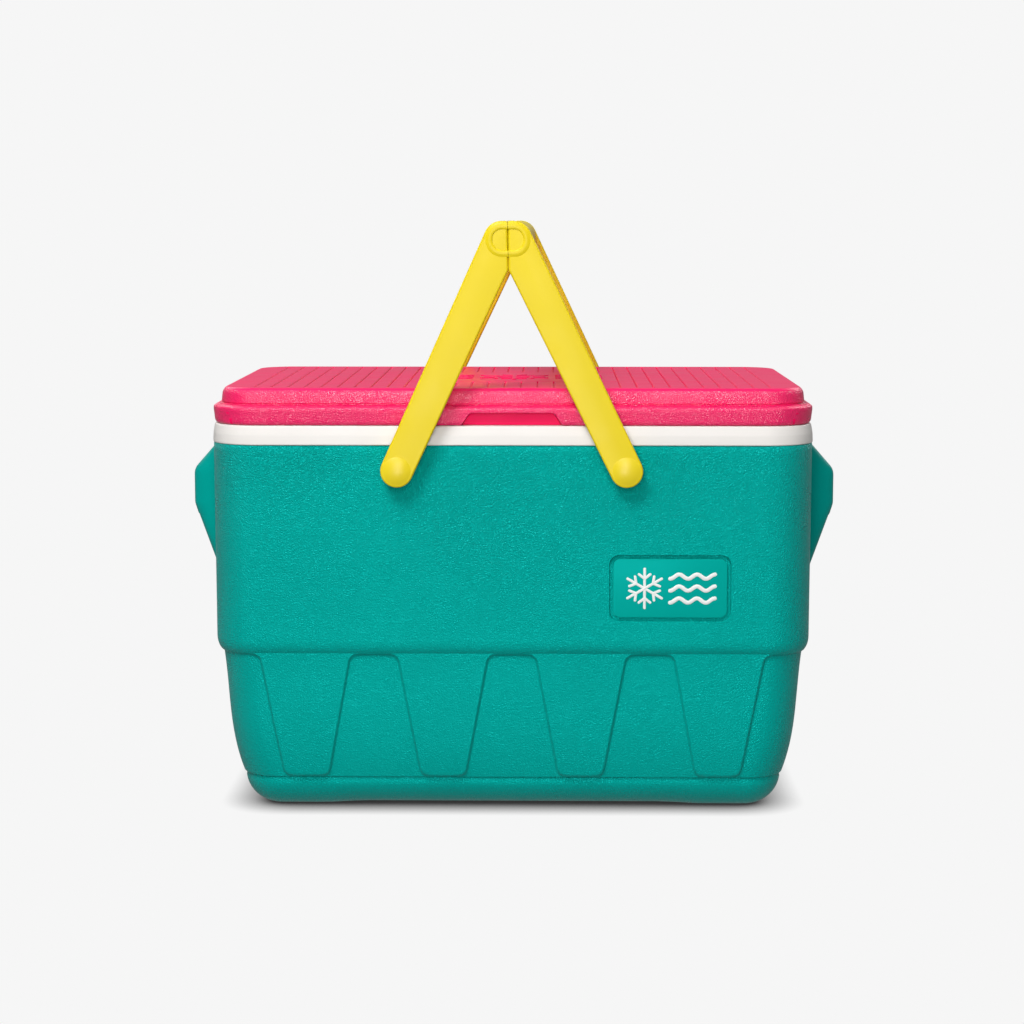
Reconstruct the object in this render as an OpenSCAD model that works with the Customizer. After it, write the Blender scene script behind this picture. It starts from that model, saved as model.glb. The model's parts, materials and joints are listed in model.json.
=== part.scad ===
// Picnic-basket cooler chest: insulated two-wall body, hinged insulated lid and two swing-up bail handles.
// X runs along the length, the front faces -Y, Z is up. The origin is on the floor under the centre.
// Heights in this file are counted from a datum plane datum_height above the floor.

/* [Body] */
// Height above the floor of the plane that the other heights are counted from
datum_height = 4.5; // [4:0.1:5]
// Half length of the body just under the rim
body_half_length = 230.6; // [225:0.1:236]
// Half depth of the body just under the rim
body_half_depth = 143; // [142:0.1:143.3]
// Radius of the body's upright corners
body_corner_radius = 36; // [32:1:40]
// Height at which the rim band starts
rim_bottom_z = 281; // [280:0.5:282]
// Height of the step between the upper and the narrower lower body
step_z = 119.6; // [110:0.1:130]
// How far the lower body is set in under the step
step_inset = 5.6; // [4:0.1:8]
// How much the lower body narrows on each side from the step down to the crease
lower_draft = 14; // [10:0.5:16]
// Height of the crease above the base rounding, from the datum
crease_z = 20.7; // [18:0.1:24]
// Radius of the rounding between the sides and the base
base_radius = 25; // [20:0.5:26]
// Wall thickness of the outer shell
shell_wall = 3; // [2.5:0.1:3.5]
// Height of the moulded corner pads that the chest stands on
pad_height = 1.2; // [0.8:0.1:2]

/* [Panels] */
// Spacing of the raised trapezoid panels round the lower body
panel_pitch = 106; // [104:0.5:107]
// Width of a panel along its top
panel_top_width = 70; // [64:0.5:74]
// Width of a panel along its bottom
panel_bottom_width = 34; // [30:0.5:40]
// Height that the panels stand out of the lower body
panel_relief = 2.3; // [1.5:0.1:3]

/* [Badge] */
// Badge centre to the right of the middle
badge_x = 120.6; // [100:0.5:130]
// Height of the badge centre
badge_z = 172; // [165:0.5:185]
// Width of the badge recess
badge_width = 92.5; // [80:0.5:100]
// Height of the badge recess
badge_height = 50.8; // [45:0.1:54]
// Width of the open groove round the badge plate
badge_groove = 2.8; // [2:0.1:4]

/* [Side grips] */
// How far the moulded side grips stand out of the end walls
grip_reach = 22.6; // [18:0.1:23]
// Length of each side grip from front to back
grip_length = 140; // [120:2:150]

/* [Rim and liner] */
// Height of the top of the rim
rim_top_z = 296; // [295.5:0.1:296.2]
// Half length of the rim band
rim_half_length = 231.2; // [231:0.1:237]
// Half depth of the rim band
rim_half_depth = 144; // [143.8:0.1:144.4]
// Wall thickness of the inner tub
liner_wall = 2.5; // [2:0.1:3]
// Thickness of the insulation between the end walls
end_insulation = 18; // [16:0.5:20]
// Height of the tub's floor
tub_floor_z = 26; // [24:0.5:30]

/* [Lid] */
// Height of the top of the lid
lid_top_z = 324; // [322:0.5:328]
// Height of the step between the lid's flange and its upper tier
lid_step_z = 311; // [310:0.5:312]
// Half length of the lid's upper tier
tier_half_length = 222.5; // [218:0.5:224]
// Half depth of the lid's upper tier
tier_half_depth = 136; // [132:0.5:137]
// Number of grooves on each side of the middle of the lid
grooves_per_side = 16; // [12:1:16]
// Spacing of the lid's grooves
groove_pitch = 12.7; // [12:0.1:13]
// Width of the finger notch at the bottom of the lid's front
notch_width = 76; // [60:1:80]

/* [Bails] */
// Distance of each pivot from the middle
pivot_x = 86.7; // [84:0.1:90]
// Height of the pivots
pivot_z = 262.7; // [258:0.1:266]
// Height of the top of the raised bails
bail_top_z = 449.3; // [445:0.1:455]
// Height at which the two raised bails part
bail_fork_z = 412; // [408:0.5:416]
// Radius of the round end of each arm
arm_end_radius = 12.4; // [12:0.1:14]
// Thickness of each arm from front to back
arm_thickness = 8.5; // [7:0.1:9]
// Distance from the middle to the inner face of the arms
arm_inner_y = 147.5; // [147.2:0.1:148]
// Radius of a pivot stud's shank
stud_radius = 5; // [4:0.1:5.5]

/* [Hinges] */
// Distance of each hinge from the middle
hinge_x = 26; // [24:0.5:27]
// Width of each hinge
hinge_width = 34; // [30:1:36]
// Radius of the hinge knuckles
knuckle_radius = 3.2; // [3:0.1:3.4]
// Radius of the hinge pins
pin_radius = 1.5; // [1.2:0.1:1.6]

/* [Hidden] */
$fn = 48;
base_z = pad_height - datum_height;
gap = 0.3;               // clearance between pieces that move apart
running = 0.05;          // radial clearance of a shaft in its hole
fit = 0.2;               // clearance between pieces fixed together
corner_steps = 6;        // facets in each rounded corner
rim_corner_radius = body_corner_radius + 2;
skirt_wall = 3.4;        // thickness of the rim's hanging skirt
tongue_inset = rim_half_length - body_half_length + skirt_wall + 0.4;
tongue_top_z = rim_top_z - 5;
upper_bottom_z = step_z + 5;
lower_half_length = body_half_length - step_inset;
lower_half_depth = body_half_depth - step_inset;
crease_half_length = lower_half_length - lower_draft;
crease_half_depth = lower_half_depth - lower_draft * 0.6;
tub_half_length = body_half_length - shell_wall - end_insulation - liner_wall;
tub_half_depth = body_half_depth - shell_wall - end_insulation + 1 - liner_wall;
tub_corner_radius = 24;
tub_draft = 6;           // how much the tub narrows on each side down to its floor
flange_half_length = rim_half_length - 0.7;
flange_half_depth = rim_half_depth;
lid_bottom_z = rim_top_z + gap;
lid_wall = 3;
pan_thickness = 2.5;
plug_depth = 11;         // how far the lid's plug reaches into the tub
notch_z = 305.6;
notch_depth = 8;
notch_slope = 6.25;      // how much narrower each side of the notch is at its top
hinge_y = rim_half_depth + 4.6;
hinge_z = rim_top_z + gap / 2;
leaf_thickness = 2;
knuckle_split = hinge_width / 4;
screw_radius = 1.5;
screw_spacing = 20;
screw_head_radius = 2.8;
screw_head_height = 1.1;
body_screw_z = rim_top_z - 9;
lid_screw_z = rim_top_z + 9;
arm_outer_y = arm_inner_y + arm_thickness;
stud_end_y = 129.5;
stud_cap_radius = 10.5;
stud_cap_height = 4;
retainer_radius = 9;
retainer_y = 138.4;      // outer face of the retaining rings behind the shell wall
retainer_thickness = 2;
corner_arc = 13.5;       // radius of each bail's top corner
grip_half_width = 17.4;
grip_bar_height = 27;
side_grip_wall = 4;
grip_base_x = body_half_length - 2;

// ---- Geometry helpers ----

function arc(cx, cy, r, from) =
    [for (i = [0:corner_steps]) let (a = from + 90 * i / corner_steps) [cx + r * cos(a), cy + r * sin(a)]];

// Outline of a rounded rectangle
function rounded(hx, hy, r) = concat(
    arc(hx - r, hy - r, r, 0), arc(r - hx, hy - r, r, 90),
    arc(r - hx, r - hy, r, 180), arc(hx - r, r - hy, r, 270));

// Solid through rounded rectangles, each level being [z, half length, half depth, corner radius]
module loft(levels) {
    ring = 4 * (corner_steps + 1);
    last = (len(levels) - 1) * ring;
    points = [for (l = levels) for (p = rounded(l[1], l[2], l[3])) [p[0], p[1], l[0]]];
    bottom = [for (i = [0:ring - 1]) i];
    top = [for (i = [ring - 1:-1:0]) last + i];
    sides = [for (k = [0:len(levels) - 2]) for (i = [0:ring - 1])
        let (a = k * ring + i, b = k * ring + (i + 1) % ring)
        each [[a, a + ring, b + ring], [a, b + ring, b]]];
    polyhedron(points, concat([bottom], sides, [top]));
}

// Levels of a quarter-round between the base and the sides
function base_round(z0, z1, hx, hy, r) =
    [for (a = [90:-22.5:0]) let (in = r * (1 - cos(a)))
        [z0 + (z1 - z0) * (1 - sin(a)), hx - in, hy - in, max(body_corner_radius - in, 6)]];

// Places its children at the four bail pivots, with +Z pointing out of the wall
module at_pivots() {
    for (sx = [-1, 1]) for (sy = [-1, 1]) at_pivot(sx, sy) children();
}

module at_pivot(sx, sy) {
    translate([sx * pivot_x, 0, pivot_z]) rotate([sy > 0 ? -90 : 90, 0, 0]) children();
}

// Prism along Y between two distances from the middle, from an outline in X and Z
module slab(y0, y1) {
    translate([0, y1, 0]) rotate([90, 0, 0]) linear_extrude(y1 - y0) children();
}

module slab_x(x0, x1) {
    translate([x0, 0, 0]) rotate([90, 0, 90]) linear_extrude(x1 - x0) children();
}

// ---- Body ----

function lower_levels(out) = concat(
    base_round(base_z, crease_z, crease_half_length - 1, crease_half_depth - 1, base_radius),
    [[crease_z + 0.6, crease_half_length + out, crease_half_depth + out, body_corner_radius],
     [46, lower_half_length - 7.4 + out, lower_half_depth - 4.6 + out, body_corner_radius],
     [78, lower_half_length - 3.6 + out, lower_half_depth - 2.2 + out, body_corner_radius],
     [step_z + 2, lower_half_length + out, lower_half_depth + out, body_corner_radius]]);

function shell_outside() = concat(
    lower_levels(0),
    [[step_z + 2.01, body_half_length - 3, body_half_depth - 3, body_corner_radius - 2],
     [upper_bottom_z, body_half_length - 0.7, body_half_depth - 0.6, body_corner_radius],
     [rim_bottom_z, body_half_length, body_half_depth, body_corner_radius],
     [rim_bottom_z + 0.01, body_half_length - tongue_inset, body_half_depth - tongue_inset, body_corner_radius - 2],
     [tongue_top_z, body_half_length - tongue_inset, body_half_depth - tongue_inset, body_corner_radius - 2]]);

// Space inside the shell's wall, kept simple because only the insulation fills it
function shell_inside(shrink, top_z) = [
    [base_z + shell_wall + shrink, crease_half_length - base_radius - shrink,
        crease_half_depth - base_radius - shrink, body_corner_radius - base_radius + 4],
    [crease_z + 1, crease_half_length - shell_wall - 1 - shrink, crease_half_depth - shell_wall - 1 - shrink,
        body_corner_radius - shell_wall],
    [78, lower_half_length - 3.6 - shell_wall - shrink, lower_half_depth - 2.2 - shell_wall - shrink,
        body_corner_radius - shell_wall],
    [step_z, lower_half_length - shell_wall - shrink, lower_half_depth - shell_wall - shrink,
        body_corner_radius - shell_wall],
    [upper_bottom_z + 4, body_half_length - 0.7 - shell_wall - shrink, body_half_depth - 0.6 - shell_wall - shrink,
        body_corner_radius - shell_wall],
    [rim_bottom_z - 4, body_half_length - shell_wall - shrink, body_half_depth - shell_wall - shrink,
        body_corner_radius - shell_wall],
    [rim_bottom_z, body_half_length - tongue_inset - shell_wall - shrink,
        body_half_depth - tongue_inset - shell_wall - shrink, body_corner_radius - 2 - shell_wall],
    [top_z, body_half_length - tongue_inset - shell_wall - shrink,
        body_half_depth - tongue_inset - shell_wall - shrink, body_corner_radius - 2 - shell_wall]];

module panel_outline() {
    polygon([[-panel_top_width / 2, step_z + 3], [panel_top_width / 2, step_z + 3],
        [panel_top_width / 2, step_z - 1], [panel_bottom_width / 2, crease_z + 2],
        [panel_bottom_width / 2 - 3, crease_z + 0.7],
        [3 - panel_bottom_width / 2, crease_z + 0.7],
        [-panel_bottom_width / 2, crease_z + 2], [-panel_top_width / 2, step_z - 1]]);
}

// Raised trapezoids: four on the front, four on the back and two on each end
module panels() {
    intersection() {
        loft([for (l = lower_levels(panel_relief)) if (l[0] > crease_z) l]);
        union() {
            for (k = [-1.5:1:1.5]) for (s = [-1, 1])
                translate([k * panel_pitch, 0, 0])
                    slab(s > 0 ? crease_half_depth - 8 : -body_half_depth, s > 0 ? body_half_depth : 8 - crease_half_depth)
                        panel_outline();
            for (k = [-0.5, 0.5]) for (s = [-1, 1])
                translate([0, k * panel_pitch, 0])
                    slab_x(s > 0 ? crease_half_length - 8 : -body_half_length, s > 0 ? body_half_length : 8 - crease_half_length)
                        panel_outline();
        }
    }
}

// Side view of a side grip in X and Z, for the right-hand end
grip_outline = [[grip_base_x, rim_bottom_z - 1], [body_half_length, rim_bottom_z - 1],
    [body_half_length + grip_reach, 253], [body_half_length + grip_reach, 227],
    [body_half_length - 0.3, 164], [grip_base_x, 164]];
// The finger pocket inside it, open downwards
grip_pocket = [[body_half_length + 0.3, 160], [body_half_length + 0.3, 268], [body_half_length + 3, 268],
    [body_half_length + grip_reach - side_grip_wall, 249], [body_half_length + grip_reach - side_grip_wall, 160]];

module side_grips() {
    for (s = [0, 1]) mirror([s, 0, 0]) difference() {
        slab(-grip_length / 2, grip_length / 2) polygon(grip_outline);
        slab(8 - grip_length / 2, grip_length / 2 - 8) polygon(grip_pocket);
    }
}

module badge_outline(inset, r) {
    translate([badge_x, badge_z]) polygon(rounded(badge_width / 2 - inset, badge_height / 2 - inset, r));
}

module foot_pads() {
    for (sx = [-1, 1]) for (sy = [-1, 1])
        translate([sx * 153, sy * 74, -datum_height])
            linear_extrude(pad_height + 1) polygon(rounded(30, 27, 12));
}

module outer_shell() {
    color("lightseagreen") difference() {
        union() {
            loft(shell_outside());
            panels();
            side_grips();
            foot_pads();
        }
        loft(shell_inside(0, tongue_top_z + 1));
        slab(-body_half_depth - 2, 1.4 - body_half_depth) badge_outline(0, 8);
        at_pivots() cylinder(r = stud_radius + 0.02, h = arm_outer_y);
    }
}

module tub(grow) {
    loft([[tub_floor_z - (grow > 0 ? liner_wall : 0), tub_half_length - tub_draft - 8 + grow,
            tub_half_depth - tub_draft - 8 + grow, tub_corner_radius - 8],
        [tub_floor_z + 8, tub_half_length - tub_draft + grow, tub_half_depth - tub_draft + grow, tub_corner_radius - 2],
        [rim_top_z + (grow > 0 ? -0.5 : 1), tub_half_length + grow, tub_half_depth + grow, tub_corner_radius]]);
}

module body_foam() {
    color("khaki") difference() {
        loft(shell_inside(fit, tongue_top_z - 1));
        tub(liner_wall + fit);
        at_pivots() {
            cylinder(r = stud_radius + fit, h = arm_outer_y);
            translate([0, 0, retainer_y - retainer_thickness - fit])
                cylinder(r = retainer_radius + fit, h = 10);
        }
    }
}

module inner_liner() {
    color("ivory") difference() {
        union() {
            difference() {
                loft([[rim_bottom_z + 0.1, rim_half_length, rim_half_depth, rim_corner_radius],
                    [rim_top_z - 1, rim_half_length - 0.6, rim_half_depth - 0.4, rim_corner_radius],
                    [rim_top_z, rim_half_length - 1.6, rim_half_depth - 1.4, rim_corner_radius - 1]]);
                loft([[rim_bottom_z - 1, rim_half_length - skirt_wall, rim_half_depth - skirt_wall,
                        rim_corner_radius - skirt_wall],
                    [tongue_top_z + 1.5, rim_half_length - skirt_wall, rim_half_depth - skirt_wall,
                        rim_corner_radius - skirt_wall]]);
            }
            tub(liner_wall);
        }
        tub(0);
        hinge_screw_holes(body_screw_z);
    }
}

module badge_plate() {
    color("darkcyan") slab(1.6 - body_half_depth - 1, 1.4 - body_half_depth)
        badge_outline(badge_groove, 5.6);
}

// ---- Pivots ----

// Snap-in stud: shank through the arm and the wall, with a low domed cap outside the arm
module pivot_stud() {
    dome = (stud_cap_radius * stud_cap_radius + stud_cap_height * stud_cap_height) / (2 * stud_cap_height);
    translate([0, 0, stud_end_y]) cylinder(r = stud_radius, h = arm_outer_y + gap - stud_end_y + 0.5);
    translate([0, 0, arm_outer_y + gap]) intersection() {
        cylinder(r = stud_cap_radius, h = stud_cap_height);
        translate([0, 0, stud_cap_height - dome]) sphere(r = dome);
    }
}

module pivot_stud_front_left() { color("gold") at_pivot(-1, -1) pivot_stud(); }
module pivot_stud_front_right() { color("gold") at_pivot(1, -1) pivot_stud(); }
module pivot_stud_rear_left() { color("gold") at_pivot(-1, 1) pivot_stud(); }
module pivot_stud_rear_right() { color("gold") at_pivot(1, 1) pivot_stud(); }

module ring(r_out, r_in, y0, y1) {
    translate([0, 0, y0]) difference() {
        cylinder(r = r_out, h = y1 - y0);
        translate([0, 0, -1]) cylinder(r = r_in, h = y1 - y0 + 2);
    }
}

// Spacer rings that hold the arms off the body wall
module pivot_spacers() {
    color("white") at_pivots() ring(9.5, stud_radius + running, body_half_depth + 0.1, arm_inner_y - gap);
}

// Push-on rings that hold the studs behind the shell wall
module stud_retainers() {
    color("silver") at_pivots() ring(retainer_radius, stud_radius + 0.02, retainer_y - retainer_thickness, retainer_y);
}

// ---- Hinges ----

module hinge_screw_holes(z) {
    for (s = [-1, 1]) for (k = [-1, 1])
        translate([s * hinge_x + k * screw_spacing / 2, rim_half_depth - 6, z]) rotate([-90, 0, 0])
            cylinder(r = screw_radius + 0.02, h = 12);
}

module knuckle(x0, x1) {
    translate([x0, hinge_y, hinge_z]) rotate([0, 90, 0]) cylinder(r = knuckle_radius, h = x1 - x0);
}

module pin_bore() {
    translate([-hinge_width, hinge_y, hinge_z]) rotate([0, 90, 0])
        cylinder(r = pin_radius + running, h = 2 * hinge_width);
}

module screw_bores(z) {
    for (k = [-1, 1]) translate([k * screw_spacing / 2, rim_half_depth - 1, z]) rotate([-90, 0, 0])
        cylinder(r = screw_radius + running, h = 5);
}

// Fixed leaf with a knuckle at each end, on the back of the rim
module hinge_body_leaf(side) {
    color("ivory") translate([side * hinge_x, 0, 0]) difference() {
        union() {
            translate([-hinge_width / 2, rim_half_depth, rim_top_z - 14])
                cube([hinge_width, leaf_thickness, 10]);
            for (s = [-1, 1]) {
                x0 = s > 0 ? knuckle_split + gap : -hinge_width / 2;
                translate([x0, rim_half_depth, rim_top_z - 4.5])
                    cube([hinge_width / 2 - knuckle_split - gap, hinge_y - rim_half_depth, 4]);
                knuckle(x0, x0 + hinge_width / 2 - knuckle_split - gap);
            }
        }
        pin_bore();
        screw_bores(body_screw_z);
    }
}

// Moving leaf with the middle knuckle, on the back of the lid
module hinge_lid_leaf(side) {
    color("deeppink") translate([side * hinge_x, 0, 0]) difference() {
        union() {
            translate([-hinge_width / 2, flange_half_depth, rim_top_z + 4.5])
                cube([hinge_width, leaf_thickness, 9.5]);
            translate([-knuckle_split, flange_half_depth, rim_top_z + 1])
                cube([2 * knuckle_split, hinge_y - flange_half_depth, 4]);
            knuckle(-knuckle_split, knuckle_split);
        }
        pin_bore();
        screw_bores(lid_screw_z);
    }
}

module hinge_pin(side) {
    color("silver") translate([side * hinge_x - hinge_width / 2 - 0.5, hinge_y, hinge_z]) rotate([0, 90, 0])
        cylinder(r = pin_radius, h = hinge_width + 1);
}

module hinge_screws(z) {
    color("silver") for (s = [-1, 1]) for (k = [-1, 1])
        translate([s * hinge_x + k * screw_spacing / 2, 0, z]) rotate([-90, 0, 0]) {
            translate([0, 0, rim_half_depth - 2.9]) cylinder(r = screw_radius, h = 2.9 + leaf_thickness + 0.5);
            translate([0, 0, rim_half_depth + leaf_thickness])
                cylinder(r1 = screw_head_radius, r2 = screw_head_radius - 0.8, h = screw_head_height);
        }
}

module hinge_body_leaf_left() { hinge_body_leaf(-1); }
module hinge_body_leaf_right() { hinge_body_leaf(1); }
module hinge_pin_left() { hinge_pin(-1); }
module hinge_pin_right() { hinge_pin(1); }
module hinge_body_screws() { hinge_screws(body_screw_z); }
module hinge_lid_leaf_left() { hinge_lid_leaf(-1); }
module hinge_lid_leaf_right() { hinge_lid_leaf(1); }
module hinge_lid_screws() { hinge_screws(lid_screw_z); }

// ---- Lid ----

module notch_outline(extra) {
    half = notch_width / 2 + extra;
    polygon([[-half, lid_bottom_z - 1], [half, lid_bottom_z - 1],
        [half - notch_slope, notch_z + extra], [notch_slope - half, notch_z + extra]]);
}

module lid_shell() {
    color("deeppink") difference() {
        union() {
            difference() {
                loft([[lid_bottom_z, flange_half_length - 1.5, flange_half_depth - 1, rim_corner_radius - 1],
                    [lid_bottom_z + 4, flange_half_length, flange_half_depth, rim_corner_radius],
                    [lid_step_z - 3, flange_half_length, flange_half_depth, rim_corner_radius],
                    [lid_step_z, flange_half_length - 3.5, flange_half_depth - 3, rim_corner_radius - 2],
                    [lid_step_z + 0.8, tier_half_length, tier_half_depth, rim_corner_radius - 5],
                    [lid_top_z - 5, tier_half_length, tier_half_depth, rim_corner_radius - 5],
                    [lid_top_z - 1.5, tier_half_length - 1.5, tier_half_depth - 1.5, rim_corner_radius - 6],
                    [lid_top_z, tier_half_length - 5, tier_half_depth - 5, rim_corner_radius - 9]]);
                lid_inside(0);
            }
            intersection() {
                slab(0.5 - flange_half_depth, notch_depth + 3 - flange_half_depth) notch_outline(3);
                translate([-100, -200, lid_bottom_z + pan_thickness]) cube([200, 200, 40]);
            }
        }
        slab(-flange_half_depth - 2, notch_depth - flange_half_depth) notch_outline(0);
        for (s = [-1, 1]) for (k = [0:grooves_per_side - 1])
            translate([s * (k + 0.5) * groove_pitch - 0.6, 8 - tier_half_depth, lid_top_z - 0.8])
                cube([1.2, 2 * tier_half_depth - 16, 2]);
        hinge_screw_holes(lid_screw_z);
    }
}

module lid_inside(shrink) {
    loft([[lid_bottom_z - 1 + (shrink > 0 ? 1 + pan_thickness + shrink : 0), flange_half_length - lid_wall - 1.5 - shrink,
            flange_half_depth - lid_wall - 1 - shrink, rim_corner_radius - lid_wall - 1],
        [lid_step_z - 3.5 - shrink, flange_half_length - lid_wall - 1.5 - shrink,
            flange_half_depth - lid_wall - 1 - shrink, rim_corner_radius - lid_wall - 1],
        [lid_step_z - 1 - shrink, tier_half_length - lid_wall - shrink, tier_half_depth - lid_wall - shrink,
            rim_corner_radius - 5 - lid_wall],
        [lid_top_z - lid_wall - shrink, tier_half_length - lid_wall - shrink, tier_half_depth - lid_wall - shrink,
            rim_corner_radius - 5 - lid_wall]]);
}

module lid_foam() {
    color("khaki") difference() {
        lid_inside(fit);
        slab(-flange_half_depth, notch_depth + 3 + fit - flange_half_depth) notch_outline(3 + fit);
    }
}

// Inner lid pan: a flat plate with a shallow plug that drops into the tub's mouth
module lid_pan() {
    color("ivory") difference() {
        union() {
            loft([for (z = [lid_bottom_z, lid_bottom_z + pan_thickness])
                [z, flange_half_length - lid_wall - 1.5 - fit, flange_half_depth - lid_wall - 1 - fit,
                    rim_corner_radius - lid_wall - 1]]);
            loft([[rim_top_z - plug_depth, tub_half_length - 4, tub_half_depth - 4, tub_corner_radius - 3],
                [lid_bottom_z + 0.5, tub_half_length - 2, tub_half_depth - 2, tub_corner_radius - 2]]);
        }
        loft([[rim_top_z - plug_depth + pan_thickness, tub_half_length - 7, tub_half_depth - 7, tub_corner_radius - 6],
            [lid_bottom_z + pan_thickness + 1, tub_half_length - 5, tub_half_depth - 5, tub_corner_radius - 5]]);
        slab(-flange_half_depth, notch_depth + 0.5 - flange_half_depth) notch_outline(0.5);
    }
}

// ---- Bails ----

// Outline of the left-hand arm in X and Z: round end at the pivot, flat where it meets the other bail
module arm_outline() {
    hull() {
        translate([-pivot_x, pivot_z]) circle(r = arm_end_radius, $fn = 32);
        translate([-4.5 - gap / 2, bail_top_z - corner_arc]) circle(r = corner_arc, $fn = 32);
        polygon([[-gap / 2, bail_fork_z], [-gap / 2, bail_top_z], [-1, bail_top_z]]);
    }
}

// Half-oval section of the grip bar
module grip_section() {
    intersection() {
        hull() for (x = [-5, 5])
            translate([x, bail_top_z - grip_bar_height / 2 - 0.5]) circle(r = grip_bar_height / 2 - 0.5, $fn = 32);
        translate([-grip_half_width - 2, bail_top_z - 60]) square([grip_half_width + 2 - gap / 2, 80]);
    }
}

module bail() {
    difference() {
        union() {
            for (s = [-1, 1]) slab(s > 0 ? arm_inner_y : -arm_outer_y, s > 0 ? arm_outer_y : -arm_inner_y)
                arm_trim() arm_outline();
            slab(-arm_inner_y - 1, arm_inner_y + 1) grip_section();
        }
        for (s = [-1, 1]) at_pivot(-1, s) cylinder(r = stud_radius + running, h = arm_outer_y + 5);
    }
}

// Keeps an arm on its own side of the middle
module arm_trim() {
    intersection() {
        children();
        translate([-200, 200]) square([200 - gap / 2, 300]);
    }
}

module bail_left() { color("yellow") bail(); }
module bail_right() { color("yellow") mirror([1, 0, 0]) bail(); }

translate([0, 0, datum_height]) {
    outer_shell();
    body_foam();
    inner_liner();
    badge_plate();
    pivot_stud_front_left();
    pivot_stud_front_right();
    pivot_stud_rear_left();
    pivot_stud_rear_right();
    pivot_spacers();
    stud_retainers();
    hinge_body_leaf_left();
    hinge_body_leaf_right();
    hinge_pin_left();
    hinge_pin_right();
    hinge_body_screws();
    lid_shell();
    lid_foam();
    lid_pan();
    hinge_lid_leaf_left();
    hinge_lid_leaf_right();
    hinge_lid_screws();
    bail_left();
    bail_right();
}
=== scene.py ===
"""Looks of the picnic cooler chest: finished meshes, procedural plastics, a pale studio and the camera.

Shapes are worked out in millimetres along the CAD axes (X along the length, front facing -Y, Z up),
with heights counted from a datum plane a little above the floor. A piece is moved up from the datum
and turned into metres when it is made.
"""

import json
import math

import bmesh
import bpy
import numpy as np
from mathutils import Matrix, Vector


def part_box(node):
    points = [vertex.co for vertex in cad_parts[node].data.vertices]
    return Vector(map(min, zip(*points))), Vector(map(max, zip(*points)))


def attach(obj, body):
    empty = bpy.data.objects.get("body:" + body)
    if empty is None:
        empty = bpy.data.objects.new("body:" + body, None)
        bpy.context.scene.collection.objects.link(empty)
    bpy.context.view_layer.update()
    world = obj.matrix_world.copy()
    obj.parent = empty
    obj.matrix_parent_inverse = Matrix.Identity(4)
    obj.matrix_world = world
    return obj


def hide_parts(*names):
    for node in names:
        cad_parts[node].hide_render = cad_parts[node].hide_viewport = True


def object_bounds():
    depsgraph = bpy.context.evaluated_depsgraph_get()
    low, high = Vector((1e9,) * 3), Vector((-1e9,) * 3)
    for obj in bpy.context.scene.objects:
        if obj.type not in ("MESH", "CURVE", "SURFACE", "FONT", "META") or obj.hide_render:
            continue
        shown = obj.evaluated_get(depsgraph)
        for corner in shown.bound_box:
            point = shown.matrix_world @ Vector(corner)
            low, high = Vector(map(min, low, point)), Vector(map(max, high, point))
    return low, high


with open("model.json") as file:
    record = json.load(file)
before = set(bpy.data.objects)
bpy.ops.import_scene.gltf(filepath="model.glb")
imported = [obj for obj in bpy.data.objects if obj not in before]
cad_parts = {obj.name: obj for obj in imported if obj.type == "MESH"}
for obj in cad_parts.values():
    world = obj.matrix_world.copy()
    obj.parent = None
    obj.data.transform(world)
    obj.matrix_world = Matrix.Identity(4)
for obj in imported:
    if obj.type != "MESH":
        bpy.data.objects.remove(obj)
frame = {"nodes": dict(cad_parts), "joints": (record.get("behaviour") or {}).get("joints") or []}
cad_low, cad_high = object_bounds()

MM = 0.001
EIGHTH = math.pi / 4
DATUM = Vector((0.0, 0.0, 4.5))  # height of the datum plane above the floor
JOINTS = {joint["name"]: Vector(joint["pos_m"]) / MM - DATUM for joint in frame["joints"]}


def node_box(node):
    """Lowest and highest corner of a CAD node, in millimetres."""
    low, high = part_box(node)
    return low / MM - DATUM, high / MM - DATUM


# ---- Driving sizes, in millimetres ----

shell_high = node_box("outer_shell")[1]
rim_high = node_box("inner_liner")[1]
lid_low, lid_high = node_box("lid_shell")
plate_low, plate_high = node_box("badge_plate")
bail_high = node_box("bail_left")[1]
pan_low = node_box("lid_pan")[0]
hinge_axis = JOINTS["lid_hinge"]
pivot = JOINTS["right_bail_swing"]

CORNER_REF = 30.0  # radius by which places along a corner are counted
HALF_CORNER = CORNER_REF * EIGHTH  # from the start of a corner to its middle
RIM_BOTTOM = 281.0  # where the outer shell meets the rim
SHELL_CORE = (194.6, 107.0)
SHELL_RADIUS = 36.0  # corner radius just under the rim
LOWER_RADIUS = 30.4  # corner radius of the narrower lower body
STEP_Z = 119.6  # underside of the step between the upper and the lower body
SHOULDER_TOP = 131.0
SHOULDER_OUT = 5.2
CREASE_Z = 20.7  # groove above the rounded base
CREASE_DEPTH = 0.7
BASE_Z = -3.3
BASE_ROUND = 25.0
BASE_DIPS = ((112, 150), (36, 66))  # where the base dips towards the pads, along the front and the ends
FOOT_PLACE = (153, 74)  # middle of each corner pad
LOWER_DRAFT = 14.0
PANEL_PITCH = 106.0
PANEL_BOTTOM_Z = 22.3
PANEL_TOP_HALF = 35.0
PANEL_BOTTOM_HALF = 17.0
PANEL_RELIEF = 2.3
PANEL_ROUND = 6.0
PANEL_EDGE = 1.2  # half width of the rounded edge round each panel
PANEL_REACH = 6.0  # columns this close to a panel edge follow it
GRIP_HALF = 70.0
GRIP_MIDDLE_Z = 224.0
GRIP_OPEN_HALF = 60.5  # half length of the finger hollow
BADGE_MARGIN = 2.8  # width of the recess outside the plate
BADGE_DEPTH = 2.4
BADGE_RADIUS = 8.0
BADGE_EDGE = 0.25
LID_CORE = (192.5, 106.0)
FLANGE_OUT = 38.0  # distance of the flange's outside from the lid's core
FLANGE_DRAFT = 0.12
FLANGE_TURN_Z = 301.0  # where the flange starts to round under
NOTCH_TOP = 305.6
NOTCH_HALF = 38.0
NOTCH_SLOPE = 6.25
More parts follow.
